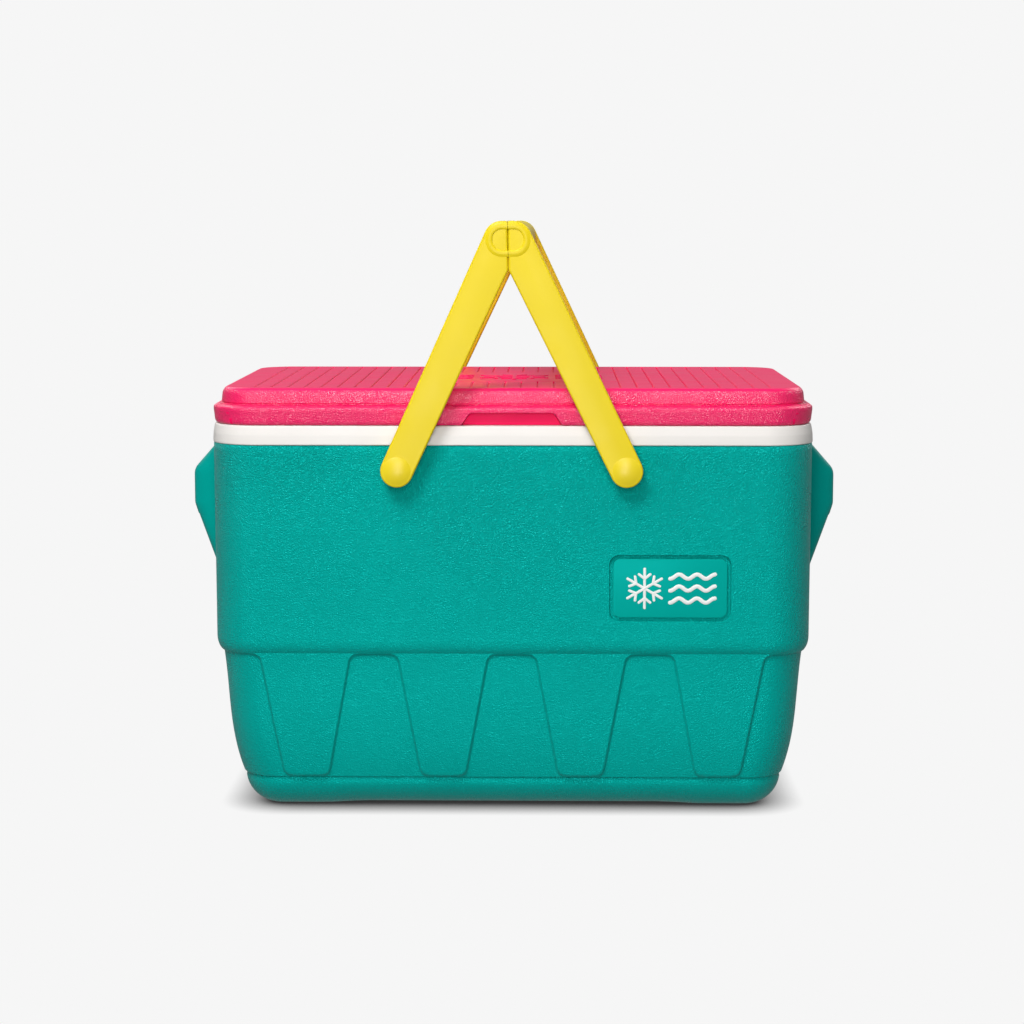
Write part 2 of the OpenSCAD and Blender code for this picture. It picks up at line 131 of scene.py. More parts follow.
NOTCH_BACK = 30.0  # distance of the notch's back wall from the lid's core
LID_FLAT = (200.5, 129.0)
GROOVE_PITCH = 12.7
GROOVES_PER_SIDE = 16
GROOVE_HALF = 0.95
GROOVE_DEPTH = 1.6
GROOVE_END = 125.0
BAND = (-59.0, 56.0)  # front and back of the plain band across the middle of the lid
BAND_HALF = 6.5 * GROOVE_PITCH
BAND_RADIUS = 5.0
ARM_INNER = 147.5  # distance of an arm's inner face from the middle
ARM_EDGE = 1.6
ARM_RADIUS = 12.4
BAIL_TOP = 450.0
FORK_Z = 413.2  # where the two raised bails part
SEAM = 0.15  # half the gap between the raised bails
LEAN = -2.1  # how far the raised bails lean to one side at the top
LEAN_TWIST = 0.9  # more of it at the front than at the back
CAP_RADIUS = 10.7
CAP_RISE = 2.2
SHANK_RADIUS = 5.0
SHANK_END = 129.6  # distance of the shank's inner end from the middle
HINGE_X = 26.0
HINGE_HALF = 17.0
SCREW_X = 10.0
CROSS_HALF = 0.32  # half width, half length and depth of a screw's cross recess
CROSS_REACH = 1.55
CROSS_DEPTH = 0.65
# Directions along and out of the front, the right end, the back and the left end.
SIDES = (((1, 0), (0, -1)), ((0, 1), (1, 0)), ((-1, 0), (0, 1)), ((0, -1), (-1, 0)))

badge_x = (plate_low.x + plate_high.x) / 2
badge_z = (plate_low.z + plate_high.z) / 2
badge_half = (plate_high.x - plate_low.x) / 2 + BADGE_MARGIN
badge_tall = (plate_high.z - plate_low.z) / 2 + BADGE_MARGIN


# ---- Numbers ----

def smooth(value, low, high):
    """0 below low, 1 above high and a soft S between them."""
    t = np.clip((value - low) / (high - low), 0, 1)
    return t * t * (3 - 2 * t)


def spread(count, low, high, peaks=(), zones=()):
    """Places from low to high, closer at peaks (place, width, gain) and in zones (from, to, gain)."""
    line = np.linspace(low, high, 6001)
    density = np.ones_like(line)
    for place, width, gain in peaks:
        density += gain * np.exp(-((line - place) / width) ** 2)
    for start, end, gain in zones:
        density += gain * ((line >= start) & (line <= end))
    total = np.concatenate([[0], np.cumsum(density[1:] + density[:-1])])
    return np.interp(np.linspace(0, total[-1], count), total, line)


def inner_zones(start, end, reach, gain):
    """Zones just inside both ends of a stretch, for spread."""
    return [(start, start + reach, gain), (end - reach, end, gain)]


def both(places):
    """The places and their mirror images, in order."""
    return sorted([-p for p in places] + places)


def round_join(a, b, radius):
    """Distance inside the corner between two edges, rounded by radius; a and b are distances inside each."""
    near = (a < radius) & (b < radius)
    return np.where(near, radius - np.hypot(radius - a, radius - b), np.minimum(a, b))


def soften(points, radii, steps=5):
    """A path in two dimensions with its inner corners rounded by arcs."""
    made = [points[0]]
    for before, here, after, radius in zip(points, points[1:], points[2:], radii):
        here = np.array(here, float)
        back = np.array(before, float) - here
        ahead = np.array(after, float) - here
        back_length, ahead_length = np.linalg.norm(back), np.linalg.norm(ahead)
        back, ahead = back / back_length, ahead / ahead_length
        turn = math.acos(max(-1.0, min(1.0, float(back @ ahead))))
        if radius <= 0 or turn > math.pi - 0.01:
            made.append(tuple(here))
            continue
        reach = min(radius / math.tan(turn / 2), 0.49 * back_length, 0.49 * ahead_length)
        for k in range(steps + 1):
            t = k / steps
            curve = (1 - t) ** 2 * (here + back * reach) + 2 * t * (1 - t) * here
            made.append(tuple(curve + t ** 2 * (here + ahead * reach)))
    made.append(points[-1])
    return made


def evenly(path, count):
    """The path as points at equal distances along it."""
    path = np.array(path)
    run = np.concatenate([[0], np.cumsum(np.linalg.norm(np.diff(path, axis=0), axis=1))])
    even = np.linspace(0, run[-1], count)
    return np.stack([np.interp(even, run, path[:, k]) for k in (0, 1)], -1)


# ---- Mesh helpers: a shell is (points, faces) ----

def net(index, closed=True):
    """Quads between neighbouring rows and columns of a grid of point numbers."""
    if closed:
        index = np.concatenate([index, index[:, :1]], axis=1)
    quads = [index[:-1, :-1], index[:-1, 1:], index[1:, 1:], index[1:, :-1]]
    return np.stack(quads, -1).reshape(-1, 4).tolist()


def tube(rings, open_start=False):
    """Shell through rings with the same number of points, with flat ends."""
    rings = np.asarray(rings, float)
    rows, columns = rings.shape[:2]
    index = np.arange(rows * columns).reshape(rows, columns)
    ends = [index[-1]] if open_start else [index[0], index[-1]]
    return rings.reshape(-1, 3), net(index) + [end.tolist() for end in ends]


def loop_tube(rings):
    """Shell through rings, the last of which joins the first."""
    rings = np.asarray(rings, float)
    rows, columns = rings.shape[:2]
    index = np.arange(rows * columns).reshape(rows, columns)
    return rings.reshape(-1, 3), net(np.concatenate([index, index[:1]]))


def rounded_ring(z, hx, hy, radius, steps=12):
    """Ring of points round a rectangle with rounded corners."""
    turn = np.linspace(0, math.pi / 2, steps + 1)
    corners = []
    for quarter, (sx, sy) in enumerate(((1, 1), (-1, 1), (-1, -1), (1, -1))):
        angle = turn + quarter * math.pi / 2
        x, y = sx * (hx - radius) + radius * np.cos(angle), sy * (hy - radius) + radius * np.sin(angle)
        corners.append(np.stack([x, y, np.full_like(x, z)], -1))
    return np.concatenate(corners)


def turned(profile, place, steps, hollow=False):
    """Shell turned from (radius, height) pairs; place(a, b, height) puts a point in the frame."""
    rings = []
    for radius, height in profile:
        ring = []
        for k in range(steps):
            angle = 2 * math.pi * k / steps
            ring.append(place(radius * math.cos(angle), radius * math.sin(angle), height))
        rings.append(ring)
    return loop_tube(rings) if hollow else tube(rings)


def wall_ring(z, core, columns, radius):
    """Ring round the chest: a rectangle with half sizes core widened by radius, with columns at places
    counted from the middle of each side. z and radius are numbers or functions of side and place."""
    parts = []
    for side, s in enumerate(columns):
        half, reach = core if side % 2 == 0 else core[::-1]
        out = radius(side, s) if callable(radius) else radius
        height = z(side, s) if callable(z) else z
        turn = np.clip((np.abs(s) - half) / CORNER_REF, 0, EIGHTH)
        along = np.sign(s) * (np.minimum(np.abs(s), half) + out * np.sin(turn))
        away = reach + out * np.cos(turn)
        (ax, ay), (ox, oy) = SIDES[side]
        ring = [ax * along + ox * away, ay * along + oy * away, np.broadcast_to(height, s.shape)]
        parts.append(np.stack(ring, -1)[:-1])
    return np.concatenate(parts)


def side_end(core, side):
    """Place of the middle of the corner, counted from the middle of a side."""
    return core[side % 2] + HALF_CORNER


def refit(columns, old, new):
    """Columns of one core moved to the same corners of another."""
    moved = []
    for side, s in enumerate(columns):
        old_half, new_half = old[side % 2], new[side % 2]
        old_marks = [-side_end(old, side), -old_half, old_half, side_end(old, side)]
        new_marks = [-side_end(new, side), -new_half, new_half, side_end(new, side)]
        moved.append(np.interp(s, old_marks, new_marks))
    return moved


def follow(columns, marks, moved, end, reach):
    """Columns that keep their distance to each mark as the marks and the end of the side move."""
    old = [columns[0]] + [m + k * reach for m in marks for k in (-1, 1)] + [columns[-1]]
    new = [-end] + [m + k * reach for m in moved for k in (-1, 1)] + [end]
    return np.interp(columns, old, new)


def hull_angles(circles):
    """Angle at which the outline leaves each of a convex row of circles (x, z, radius), anticlockwise."""
    leave = []
    for (xa, za, ra), (xb, zb, rb) in zip(circles, circles[1:] + circles[:1]):
        distance = math.hypot(xb - xa, zb - za)
        leave.append(math.atan2(zb - za, xb - xa) - math.acos((ra - rb) / distance))
    return leave


def hull_outline(circles, inset):
    """Points round the outside of the circles, moved inwards by inset."""
    leave = hull_angles(circles)
    points = []
    for (x, z, radius), start, end in zip(circles, leave[-1:] + leave[:-1], leave):
        sweep = (end - start) % (2 * math.pi)
        count = max(3, math.ceil(sweep / 0.12))
        reach = radius - inset
        for k in range(count + 1):
            angle = start + sweep * k / count
            points.append((x + reach * math.cos(angle), z + reach * math.sin(angle)))
    return points


def corner_circles(x0, x1, z0, z1, corner):
    """Circles in the corners of a rectangle, anticlockwise from the top right."""
    x0, x1, z0, z1 = x0 + corner, x1 - corner, z0 + corner, z1 - corner
    return [(x1, z1, corner), (x0, z1, corner), (x0, z0, corner), (x1, z0, corner)]


def slab(circles, y_front, y_back, edge, steps=4):
    """Plate in X and Z between two Y values with its outer edges rounded."""
    turns = [math.pi / 2 * k / steps for k in range(steps + 1)]
    levels = [(y_front, edge, angle) for angle in turns]
    levels += [(y_back, -edge, angle) for angle in reversed(turns)]
    rings = []
    for y, inwards, angle in levels:
        outline = hull_outline(circles, edge * (1 - math.sin(angle)))
        rings.append([(x, y + inwards * (1 - math.cos(angle)), z) for x, z in outline])
    return tube(rings)


def strokes(paths, height, step, place, sunk=0.3):
    """Ribbons along (path, width) pairs, each a step higher, so that no two tops lie in one plane."""
    return [ribbon(path, width, height + step * k, place, sunk) for k, (path, width) in enumerate(paths)]


def ribbon(path, width, height, place, sunk):
    """Raised stroke with round ends along a path; place(u, v, height) puts a point in the frame."""
    path = [np.array(p, float) for p in path]
    end_turns = (0.15, 0.5, 0.85, 1.2)
    stations = []
    for k, here in enumerate(path):
        tangent = path[min(k + 1, len(path) - 1)] - path[max(k - 1, 0)]
        tangent = tangent / np.linalg.norm(tangent)
        end = [(tangent * width / 2 * math.cos(t), math.sin(t)) for t in end_turns]
        if k == 0:
            stations += [(here - past, tangent, share) for past, share in end]
        stations.append((here, tangent, 1.0))
        if k == len(path) - 1:
            stations += [(here + past, tangent, share) for past, share in reversed(end)]
    edge = height * 0.4
    inner = max(0.2, 1 - edge / (width / 2))
    section = [(-1, -sunk), (-1, height - edge), (-inner, height)]
    section += [(-k, h) for k, h in reversed(section)]
    rings = []
    for here, tangent, share in stations:
        across = np.array([-tangent[1], tangent[0]]) * width / 2 * share
        rings.append([place(*(here + across * k), h) for k, h in section])
    return tube(rings)


def merged(shells):
    """Several shells as one."""
    points, faces = [], []
    for shell_points, shell_faces in shells:
        faces += [[len(points) + i for i in face] for face in shell_faces]
        points += np.array(shell_points, float).tolist()
    return points, faces


def piece(name, shells, body, look, nodes=(), sharp=50):
    """One object from closed shells, smooth except at sharp edges, riding on a CAD body."""
    points, faces = merged(shells)
    mesh = bpy.data.meshes.new(name)
    mesh.from_pydata(((np.array(points) + DATUM) * MM).tolist(), [], faces)
    cleaned = bmesh.new()
    cleaned.from_mesh(mesh)
    bmesh.ops.remove_doubles(cleaned, verts=cleaned.verts, dist=1e-6)
    bmesh.ops.recalc_face_normals(cleaned, faces=cleaned.faces)
    cleaned.to_mesh(mesh)
    cleaned.free()
    mesh.shade_smooth()
    mesh.set_sharp_from_angle(angle=math.radians(sharp))
    mesh.materials.append(look)
    thing = bpy.data.objects.new(name, mesh)
    bpy.context.scene.collection.objects.link(thing)
    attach(thing, body)
    if nodes:
        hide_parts(*nodes)
    return thing


# ---- Materials ----

def add(tree, kind, inputs=(), **settings):
    """New shader node; inputs are (socket, value or output socket) pairs."""
    node = tree.nodes.new(kind)
    for key, value in settings.items():
        setattr(node, key, value)
    for key, value in inputs:
        if isinstance(value, bpy.types.NodeSocket):
            tree.links.new(value, node.inputs[key])
        else:
            node.inputs[key].default_value = value
    return node


def empty_material(name):
    """New material, its emptied node tree and its output node."""
    made = bpy.data.materials.new(name)
    made.use_nodes = True
    made.node_tree.nodes.clear()
    return made, made.node_tree, add(made.node_tree, "ShaderNodeOutputMaterial")


def material(name, shader):
    """New material, its node tree, its Principled shader and the place on the piece."""
    made, tree, output = empty_material(name)
    main = add(tree, "ShaderNodeBsdfPrincipled", shader.items())
    tree.links.new(main.outputs["BSDF"], output.inputs["Surface"])
    where = add(tree, "ShaderNodeTexCoord").outputs["Object"]
    return made, tree, main, where


def noise(tree, where, scale, detail=2.0):
    """Soft noise, with scale in waves per metre."""
    inputs = [("Vector", where), ("Scale", scale), ("Detail", detail)]
    return add(tree, "ShaderNodeTexNoise", inputs).outputs["Fac"]


def cells(tree, where, scale, feature):
    """Distance value of a cell pattern, with scale in cells per metre."""
    made = add(tree, "ShaderNodeTexVoronoi", [("Vector", where), ("Scale", scale)], feature=feature)
    return made.outputs["Distance"]


def remap(tree, value, low, high, out_low, out_high):
    """The value with low to high turned into out_low to out_high."""
    inputs = [("Value", value), ("From Min", low), ("From Max", high)]
    inputs += [("To Min", out_low), ("To Max", out_high)]
    return add(tree, "ShaderNodeMapRange", inputs).outputs["Result"]


def uneven(tree, where, scale, detail, low, high):
    """A value that drifts between low and high from place to place."""
    return remap(tree, noise(tree, where, scale, detail), 0.3, 0.7, low, high)


def combine(tree, operation, a, b):
    """One value worked out from two."""
    return add(tree, "ShaderNodeMath", [(0, a), (1, b)], operation=operation).outputs["Value"]


def weighted(tree, terms):
    """Sum of the values, each times its weight."""
    parts = [combine(tree, "MULTIPLY", value, weight) for value, weight in terms]
    total = parts[0]
    for part in parts[1:]:
        total = combine(tree, "ADD", total, part)
    return total


def scaled(tree, vector, factor):
    """The vector or colour times a factor."""
    made = add(tree, "ShaderNodeVectorMath", [(0, vector), ("Scale", factor)], operation="SCALE")
    return made.outputs["Vector"]


def lighter_edges(tree, factor, amount):
    """Raises a brightness factor a little on outside edges."""
    edge = add(tree, "ShaderNodeNewGeometry").outputs["Pointiness"]
    return combine(tree, "ADD", factor, remap(tree, edge, 0.5, 0.58, 0.0, amount))


def link_look(tree, main, colour, brightness, roughness, height, strength, distance):
    """Gives the shader its colour times brightness, its roughness and its bump."""
    inputs = [("Strength", strength), ("Distance", distance), ("Height", height)]
    bump = add(tree, "ShaderNodeBump", inputs)
    tree.links.new(bump.outputs["Normal"], main.inputs["Normal"])
    tree.links.new(scaled(tree, colour, brightness), main.inputs["Base Color"])
    tree.links.new(roughness, main.inputs["Roughness"])


NEUTRAL = (1.0, 1.0, 1.0, 1.0)


def grained_plastic(name, colour, grain=0.72, cell=0.0018, specular=0.7, tint=NEUTRAL):
    """Moulded plastic with a leather grain: uneven cells, creases between them and a fine tooth, with
    painted shade in the creases.
    """
    shader = {"IOR": 1.5, "Specular IOR Level": specular, "Specular Tint": tint}
    made, tree, main, where = material(name, shader)
    warp = add(tree, "ShaderNodeTexNoise", [("Vector", where), ("Scale", 0.4 / cell), ("Detail", 2.0)])
    shift = scaled(tree, warp.outputs["Color"], cell * 0.9)
    bent = add(tree, "ShaderNodeVectorMath", [(0, where), (1, shift)], operation="ADD").outputs["Vector"]
    crease = remap(tree, cells(tree, bent, 1 / cell, "DISTANCE_TO_EDGE"), 0.0, 0.28, 0.0, 1.0)
    pebble = remap(tree, cells(tree, bent, 1.9 / cell, "SMOOTH_F1"), 0.0, 0.7, 1.0, 0.0)
    height = weighted(tree, [(crease, 0.55), (pebble, 0.45), (noise(tree, where, 2600.0), 0.16)])
    level = add(tree, "ShaderNodeSeparateXYZ", [(0, where)]).outputs["Z"]
    strength = uneven(tree, where, 9.0, 3.0, grain * 0.75, grain)
    strength = combine(tree, "MULTIPLY", strength, remap(tree, level, 0.1, 0.27, 0.62, 1.2))
    brightness = uneven(tree, where, 14.0, 4.0, 0.965, 1.02)
    # Painted shade: the colour is darkened a little down in the creases of the grain.
    brightness = combine(tree, "MULTIPLY", brightness, remap(tree, crease, 0.0, 1.0, 0.97, 1.01))
    brightness = lighter_edges(tree, brightness, 0.06)
    roughness = uneven(tree, where, 35.0, 3.0, 0.24, 0.35)
    link_look(tree, main, colour, brightness, roughness, height, strength, 0.0009)
    return made


def satin_plastic(name, colour, gloss=0.36, specular=0.3, flow=0.03, tint=NEUTRAL):
    """Smooth moulded plastic: faint flow waves, fine tooth, a little unevenness in colour and polish."""
    shader = {"IOR": 1.5, "Specular IOR Level": specular, "Specular Tint": tint}
    made, tree, main, where = material(name, shader)
    waves, tooth = noise(tree, where, 60.0, 3.0), noise(tree, where, 3000.0)
    height = weighted(tree, [(waves, 0.7), (tooth, 0.12)])
    brightness = lighter_edges(tree, uneven(tree, where, 20.0, 4.0, 0.975, 1.015), 0.04)
    roughness = uneven(tree, where, 45.0, 3.0, gloss - 0.04, gloss + 0.05)
    link_look(tree, main, colour, brightness, roughness, height, flow, 0.001)
    return made


def rigid_foam(name, colour):
    """Poured insulation: closed cells with a crust of larger bubbles."""
    shader = {"Specular IOR Level": 0.1, "Sheen Weight": 0.2, "Sheen Roughness": 0.6}
    made, tree, main, where = material(name, shader)
    fine = cells(tree, where, 900.0, "F1")
    height = combine(tree, "ADD", fine, cells(tree, where, 140.0, "SMOOTH_F1"))
    brightness = uneven(tree, where, 50.0, 5.0, 0.86, 1.05)
    roughness = remap(tree, fine, 0.0, 0.6, 0.8, 0.95)
    link_look(tree, main, colour, brightness, roughness, height, 0.6, 0.0006)
    return made


def brushed_steel(name, colour):
    """Zinc-plated steel with a fine grain drawn along X."""
    made, tree, main, where = material(name, {"Metallic": 1.0, "Anisotropic": 0.4})
    drawn = add(tree, "ShaderNodeMapping", [("Vector", where), ("Scale", (200.0, 4000.0, 4000.0))])
    lines = noise(tree, drawn.outputs["Vector"], 1.0, 4.0)
    brightness = uneven(tree, where, 300.0, 3.0, 0.88, 1.06)
    roughness = remap(tree, lines, 0.3, 0.7, 0.28, 0.42)
    link_look(tree, main, colour, brightness, roughness, lines, 0.15, 0.0001)
    return made


TEAL = (0.0003, 0.308, 0.268)
# Darker than TEAL: painted shade on the side grips, which belong to the same moulding.
SHADED_GRIP_TEAL = (0.0004, 0.285, 0.247)
BADGE_TEAL = (0.0006, 0.305, 0.262)
TEAL_SHEEN = (0.03, 1.0, 0.95, 1.0)
PINK = (0.82, 0.005, 0.115)
# Brighter than PINK: painted light that lifts the back wall of the notch, which the flange shades.
RECESS_PINK_PAINTED_LIGHT = (0.92, 0.004, 0.105)
YELLOW = (0.71, 0.55, 0.008)
WHITE = (0.705, 0.68, 0.65)
PRINT_WHITE = (0.72, 0.74, 0.72)
NYLON = (0.62, 0.6, 0.54)
FOAM = (0.62, 0.52, 0.28)
ZINC = (0.55, 0.55, 0.54)

teal_grain = grained_plastic("teal_grained_plastic", TEAL, tint=TEAL_SHEEN)
pink_grain = grained_plastic("pink_grained_plastic", PINK, grain=0.44, cell=0.0016, specular=0.8)
pink_satin = satin_plastic("pink_smooth_plastic", PINK)
pink_recess_painted_light = satin_plastic("pink_recess_plastic", RECESS_PINK_PAINTED_LIGHT, specular=0.06)
yellow_satin = satin_plastic("yellow_smooth_plastic", YELLOW, specular=0.22, flow=0.015)
knob_satin = satin_plastic("yellow_knob_plastic", YELLOW, specular=0.45, flow=0.015)
white_satin = satin_plastic("white_smooth_plastic", WHITE)
shaded_grip_satin = satin_plastic("teal_grip_plastic", SHADED_GRIP_TEAL, tint=TEAL_SHEEN)
badge_satin = satin_plastic("teal_smooth_plastic", BADGE_TEAL, tint=TEAL_SHEEN)
print_white = satin_plastic("white_print", PRINT_WHITE, gloss=0.45)
spacer_satin = satin_plastic("natural_nylon", NYLON, gloss=0.4)
foam = rigid_foam("rigid_foam", FOAM)
steel = brushed_steel("zinc_plated_steel", ZINC)


# ---- Outer shell ----

def shell_core(z):
    """Half sizes of the flat parts of the walls at height z."""
    t = np.clip((STEP_Z - z) / (STEP_Z - CREASE_Z), 0, 1)
    inset = LOWER_DRAFT * (0.93 * t - 1.36 * t ** 2 + 1.43 * t ** 3)
    return SHELL_CORE[0] - inset, SHELL_CORE[1] - 0.6 * inset


def panel_centres(side):
    """Middles of the raised panels: four along the front and back, two along the ends."""
    steps = (-1.5, -0.5, 0.5, 1.5) if side % 2 == 0 else (-0.5, 0.5)
    return [step * PANEL_PITCH for step in steps]


def panel_half(z):
    """Half width of a raised panel at height z."""
    share = np.clip((z - PANEL_BOTTOM_Z) / (STEP_Z - PANEL_BOTTOM_Z), -0.05, 1)
    return PANEL_BOTTOM_HALF + (PANEL_TOP_HALF - PANEL_BOTTOM_HALF) * share


def panel_edges(side, z):
    """Places of the panels' sloping edges at height z."""
    return [centre + k * panel_half(z) for centre in panel_centres(side) for k in (-1, 1)]


def panel_mask(side, s, z):
    """1 on the raised panels, 0 between them, with rounded bottom corners and rounded recess tops."""
    u = np.min([np.abs(s - centre) for centre in panel_centres(side)], axis=0)
    side_gap = (panel_half(z) - u) * 0.983
    if z < (STEP_Z + CREASE_Z) / 2:
        inside = round_join(side_gap, z - PANEL_BOTTOM_Z, PANEL_ROUND)
    else:
        inside = -round_join(-side_gap, STEP_Z - z, PANEL_ROUND)
    return smooth(inside, -PANEL_EDGE, PANEL_EDGE)


def badge_mask(side, s, z):
    """1 in the recess for the badge on the front, 0 outside it."""
    if side != 0:
        return np.zeros_like(s)
    inside = round_join(badge_half - np.abs(s - badge_x), badge_tall - abs(z - badge_z), BADGE_RADIUS)
    return smooth(inside, -BADGE_EDGE, BADGE_EDGE)


def shell_radius(z):
    """Corner radius, and so the surface's distance from the core, over the walls at height z."""
    def radius(side, s):
        crease = -CREASE_DEPTH * math.exp(-((z - CREASE_Z) / 0.5) ** 2)
        wall = LOWER_RADIUS - 1 + smooth(z, CREASE_Z, CREASE_Z + 1.2) + crease
        wall = wall + PANEL_RELIEF * panel_mask(side, s, z)
        if z >= STEP_Z:
            fall = max(0.0, (SHOULDER_TOP - z) / (SHOULDER_TOP - STEP_Z))
            shoulder = LOWER_RADIUS + SHOULDER_OUT * math.sqrt(1 - fall ** 2)
            shoulder += 0.4 * smooth(z, SHOULDER_TOP - 8, RIM_BOTTOM)
            wall = shoulder if z > STEP_Z + 4 else np.maximum(wall, shoulder)
        return wall - BADGE_DEPTH * badge_mask(side, s, z)
    return radius


def shell_columns():
    """Function of height that gives the column places on the four sides."""
    ends = [side_end(SHELL_CORE, side) for side in range(4)]
    panels = []
    for side, end in enumerate(ends):
        peaks = [(edge, 2.3, 13) for edge in panel_edges(side, STEP_Z)]
        corners = inner_zones(-end, end, HALF_CORNER, 1)
        panels.append(spread(168 if side % 2 == 0 else 98, -end, end, peaks, corners))
    edges = [badge_x - badge_half, badge_x + badge_half]
    peaks = [(edge, 0.9, 22) for edge in edges]
    zones = inner_zones(*edges, 9, 6) + inner_zones(-ends[0], ends[0], HALF_CORNER, 1)
    badge = spread(168, -ends[0], ends[0], peaks, zones)

    def columns(z):
        core = shell_core(z)
        made = []
        for side, places in enumerate(panels):
            marks, moved = panel_edges(side, STEP_Z), panel_edges(side, min(z, STEP_Z))
            made.append(follow(places, marks, moved, side_end(core, side), PANEL_REACH))
        blend = smooth(z, SHOULDER_TOP, SHOULDER_TOP + 13)
        made[0] = made[0] * (1 - blend) + badge * blend
        return made
    return columns


def base_height(level):
    """Height over the base rounding, level 0 to 1: lowest at the corners, where the chest stands."""
    def height(side, s):
        low = BASE_Z + 0.6 - 1.5 * smooth(np.abs(s), *BASE_DIPS[side % 2])
        return CREASE_Z - (CREASE_Z - low) * level
    return height


def outer_shell():
    """The body's outer moulding with its panels, badge recess, corner pads and side grips."""
    columns = shell_columns()
    foot_core = shell_core(CREASE_Z)
    foot_columns = columns(CREASE_Z)
    rings = [wall_ring(BASE_Z + 1.0, foot_core, foot_columns, 1.0)]
    for angle in np.linspace(90, 0, 13)[:-1]:
        turn = math.radians(angle)
        radius = LOWER_RADIUS - 1 - BASE_ROUND * (1 - math.cos(turn))
        rings.append(wall_ring(base_height(math.sin(turn)), foot_core, foot_columns, radius))
    badge_ends = [badge_z - badge_tall, badge_z + badge_tall]
    peaks = [(CREASE_Z + 0.6, 1.1, 16), (STEP_Z, 1.5, 14)] + [(z, 0.9, 16) for z in badge_ends]
    zones = [(CREASE_Z + 1, 30, 3), (110, STEP_Z, 4), (STEP_Z, SHOULDER_TOP, 2.5)]
    zones += inner_zones(*badge_ends, 9, 4.5)
    for z in spread(108, CREASE_Z, RIM_BOTTOM - 0.6, peaks, zones):
        rings.append(wall_ring(z, shell_core(z), columns(z), shell_radius(z)))
    upper = columns(RIM_BOTTOM)
    tongue = [(RIM_BOTTOM, SHELL_RADIUS - 0.5), (RIM_BOTTOM, 31.6), (290.4, 31.6), (291, 31.0),
              (291, 29.2), (290.4, 28.6), (RIM_BOTTOM, 28.6), (277, 33.0), (128.6, 32.3)]
    for z, radius in tongue:
        rings.append(wall_ring(z, SHELL_CORE, upper, radius))
    inside = [(STEP_Z, 222, 134.4, 33), (78, 218.4, 132.2, 33), (21.7, 207, 125, 33), (-0.3, 186, 104, 15)]
    for z, hx, hy, radius in inside:
        core = (hx - radius, hy - radius)
        rings.append(wall_ring(z, core, refit(upper, SHELL_CORE, core), radius))
    shells = [tube(rings)] + foot_pads() + [side_grip(-1), side_grip(1)]
    shell = piece("shell_body", shells, "chest", teal_grain, ["outer_shell"], sharp=60)
    # The side grips get the darker teal: painted shade.
    shell.data.materials.append(shaded_grip_satin)
    wall_x = SHELL_CORE[0] + SHELL_RADIUS
    for face in shell.data.polygons:
        if abs(face.center.x) / MM > wall_x + 0.5:
            face.material_index = 1


def foot_pads():
    """Four low pads under the corners of the base."""
    levels = [(-4.5, 1.6), (-4.25, 0.7), (-3.7, 0.15), (-1.9, 0.0)]
    pad = [rounded_ring(z, 30 - inset, 27 - inset, 12 - inset) for z, inset in levels]
    middles = [(sx * FOOT_PLACE[0], sy * FOOT_PLACE[1], 0) for sx in (-1, 1) for sy in (-1, 1)]
    return [tube([ring + middle for ring in pad]) for middle in middles]


def side_grip(sign):
    """Moulded grip on an end wall, hollow underneath for the fingers, with rounded ends."""
    wall_x, face_x, half = 228.6, shell_high.x, GRIP_HALF
    head = soften([(wall_x, 280.4), (231.0, 280.4), (face_x, 255), (face_x, 231)], [1.5, 12], 7)
    lip = [(face_x, 231), (face_x, 228), (face_x - 3.2, 217.3), (face_x - 4.6, 217.3), (face_x - 4.4, 246),
           (234.2, 266), (231.4, 266), (230.9, 190), (wall_x, 163)]
    lip = soften(lip, [6, 1, 1, 5, 4, 1.5, 1], 4)
    slope = soften([(face_x, 231), (face_x, 228), (231.2, 167), (wall_x, 161)], [6, 4], 4)
    hollow, solid = evenly(lip, 70)[1:], evenly(slope, 70)[1:]
    peaks = [(-GRIP_OPEN_HALF, 1.6, 7), (GRIP_OPEN_HALF, 1.6, 7)]
    zones = [(-half, -GRIP_OPEN_HALF - 0.5, 2.5), (GRIP_OPEN_HALF + 0.5, half, 2.5)]
    rings = []
    for y in spread(64, -half, half, peaks, zones):
        open_share = 1 - smooth(abs(y), GRIP_OPEN_HALF - 1.7, GRIP_OPEN_HALF + 1.7)
        outline = np.concatenate([np.array(head), solid + (hollow - solid) * open_share])
        beyond = max(0.0, (abs(y) - (half - 10)) / 10)
        shrink = math.sqrt(max(0.0, 1 - beyond ** 2.2))
        x = wall_x + (outline[:, 0] - wall_x) * (0.02 + 0.98 * shrink)
        z = GRIP_MIDDLE_Z + (outline[:, 1] - GRIP_MIDDLE_Z) * (0.9 + 0.1 * shrink)
        rings.append(np.stack([sign * x, np.full_like(x, y), z], -1))
    return tube(rings)


# ---- Rim and tub ----

def rim_and_tub():
    """White liner: from the tub's floor up its wall, over the rim, down the skirt and back underneath."""
    section = [(-44, 26), (-30.6, 26), (-28.4, 60), (-24.1, 296), (-1.5, 296), (-0.2, 288.5), (0.1, 281.1),
               (-3.4, 281.1), (-3.4, 292.5), (-21.6, 292.5), (-26, 60), (-28.4, 23.5), (-44, 23.5)]
    path = soften(section, [9, 60, 3, 1.8, 12, 1.1, 0.5, 1, 2, 60, 9], 6)
    rings = []
    for offset, z in path:
        hx, hy = rim_high.x - 0.1 + offset, rim_high.y - 0.1 + 0.975 * offset
        rings.append(rounded_ring(z, hx, hy, 38 + 0.58 * offset, 14))
    piece("rim_and_tub", [tube(rings)], "chest", white_satin, ["inner_liner"])


# ---- Lid ----

def notch_inside(side, s, z, grow=0.0):
    """Distance inside the finger notch's outline on the front of the lid."""
    if side != 0:
        return np.full_like(s, -9.0)
    share = (z - lid_low.z) / (NOTCH_TOP - lid_low.z)
    side_gap = (NOTCH_HALF + grow - NOTCH_SLOPE * share - np.abs(s)) * 0.83
    return round_join(side_gap, NOTCH_TOP + grow - z, 1.6)


